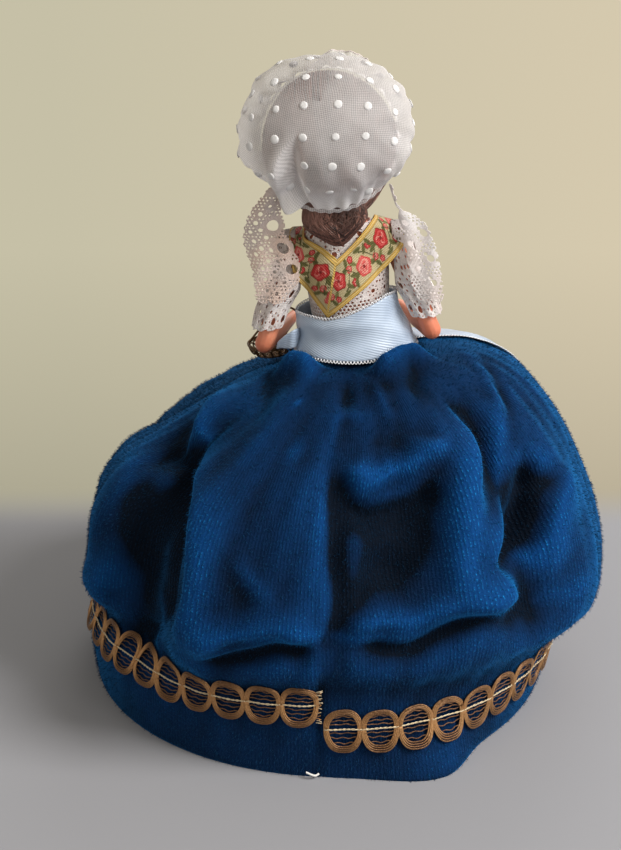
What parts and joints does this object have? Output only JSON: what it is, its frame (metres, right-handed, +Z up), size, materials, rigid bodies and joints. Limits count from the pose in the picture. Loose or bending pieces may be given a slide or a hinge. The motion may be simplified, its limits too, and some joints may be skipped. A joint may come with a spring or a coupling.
{
  "type": "costume doll",
  "caption": "Standing costume doll with sleeping eyes, strung arms and legs, puffed bonnet, ribbon fichu, lace sleeves and a full velvet skirt.",
  "frame": {"origin": "on the floor, under the middle of the doll's outline", "axes": "+Z up from the floor to the bonnet, -Y out of the face, +X to the doll's left"},
  "size_m": [0.169, 0.1582, 0.1982],
  "materials": {
    "skin_plastic": "satin, orange-pink moulded plastic",
    "eye_plastic": "gloss",
    "rocker_metal": "matt",
    "hair_fibre": "silky dark-brown fibre",
    "voile": "sheer dotted voile",
    "white_lace": "open cotton lace",
    "cotton": "plain white cotton",
    "rose_ribbon": "woven yellow ribbon with red roses",
    "satin_ribbon": "light-blue satin with a picot edge",
    "blue_velvet": "deep pile",
    "gold_galloon": "metallic thread braid",
    "bronze_wire": "dark patina",
    "elastic": "covered elastic",
    "shoe_plastic": "satin"
  },
  "bodies": {
    "torso": {"torso_front": "skin_plastic", "torso_back": "skin_plastic", "arm_elastic": "elastic", "leg_elastic": "elastic", "underpants": "cotton", "bodice": "white_lace", "fichu_left": "rose_ribbon", "fichu_right": "rose_ribbon", "sash": "satin_ribbon", "apron": "satin_ribbon", "skirt": "blue_velvet", "skirt_braid": "gold_galloon", "petticoat": "cotton", "lappet_left": "white_lace", "lappet_right": "white_lace"},
    "head": {"head_front": "skin_plastic", "head_back": "skin_plastic", "wig": "hair_fibre", "bonnet_crown": "voile", "bonnet_band": "voile", "bonnet_frill": "voile"},
    "eyes": {"eye_left": "eye_plastic", "eye_right": "eye_plastic", "eye_rocker": "rocker_metal"},
    "arm_left": {"arm_left": "skin_plastic", "sleeve_left": "white_lace", "basket_bowl": "bronze_wire", "basket_rim": "bronze_wire", "basket_handle": "bronze_wire"},
    "arm_right": {"arm_right": "skin_plastic", "sleeve_right": "white_lace"},
    "leg_left": {"leg_left": "skin_plastic", "sock_left": "cotton", "shoe_left": "shoe_plastic"},
    "leg_right": {"leg_right": "skin_plastic", "sock_right": "cotton", "shoe_right": "shoe_plastic"}
  },
  "joints": [
    {"name": "neck_turn", "type": "hinge", "parent": "torso", "child": "head", "pos_m": [-0.00054, 0.00136, 0.14777], "axis": [0.1564, 0, 0.9877], "range_deg": [-30, 30]},
    {"name": "eye_tilt", "type": "hinge", "parent": "head", "child": "eyes", "pos_m": [0.00267, -0.00812, 0.16802], "axis": [0.9877, 0, -0.1564], "range_deg": [0, 50]},
    {"name": "shoulder_left", "type": "hinge", "parent": "torso", "child": "arm_left", "pos_m": [0.01118, 0.00136, 0.13822], "axis": [-0.9962, 0, 0.0872], "range_deg": [0, 80]},
    {"name": "shoulder_right", "type": "hinge", "parent": "torso", "child": "arm_right", "pos_m": [-0.01373, 0.00136, 0.14039], "axis": [-0.9962, 0, 0.0872], "range_deg": [0, 80]},
    {"name": "hip_left", "type": "hinge", "parent": "torso", "child": "leg_left", "pos_m": [0.00203, 0.00136, 0.088], "axis": [-1, 0, 0], "range_deg": [-15, 25]},
    {"name": "hip_right", "type": "hinge", "parent": "torso", "child": "leg_right", "pos_m": [-0.01357, 0.00136, 0.088], "axis": [-1, 0, 0], "range_deg": [-15, 25]}
  ]
}
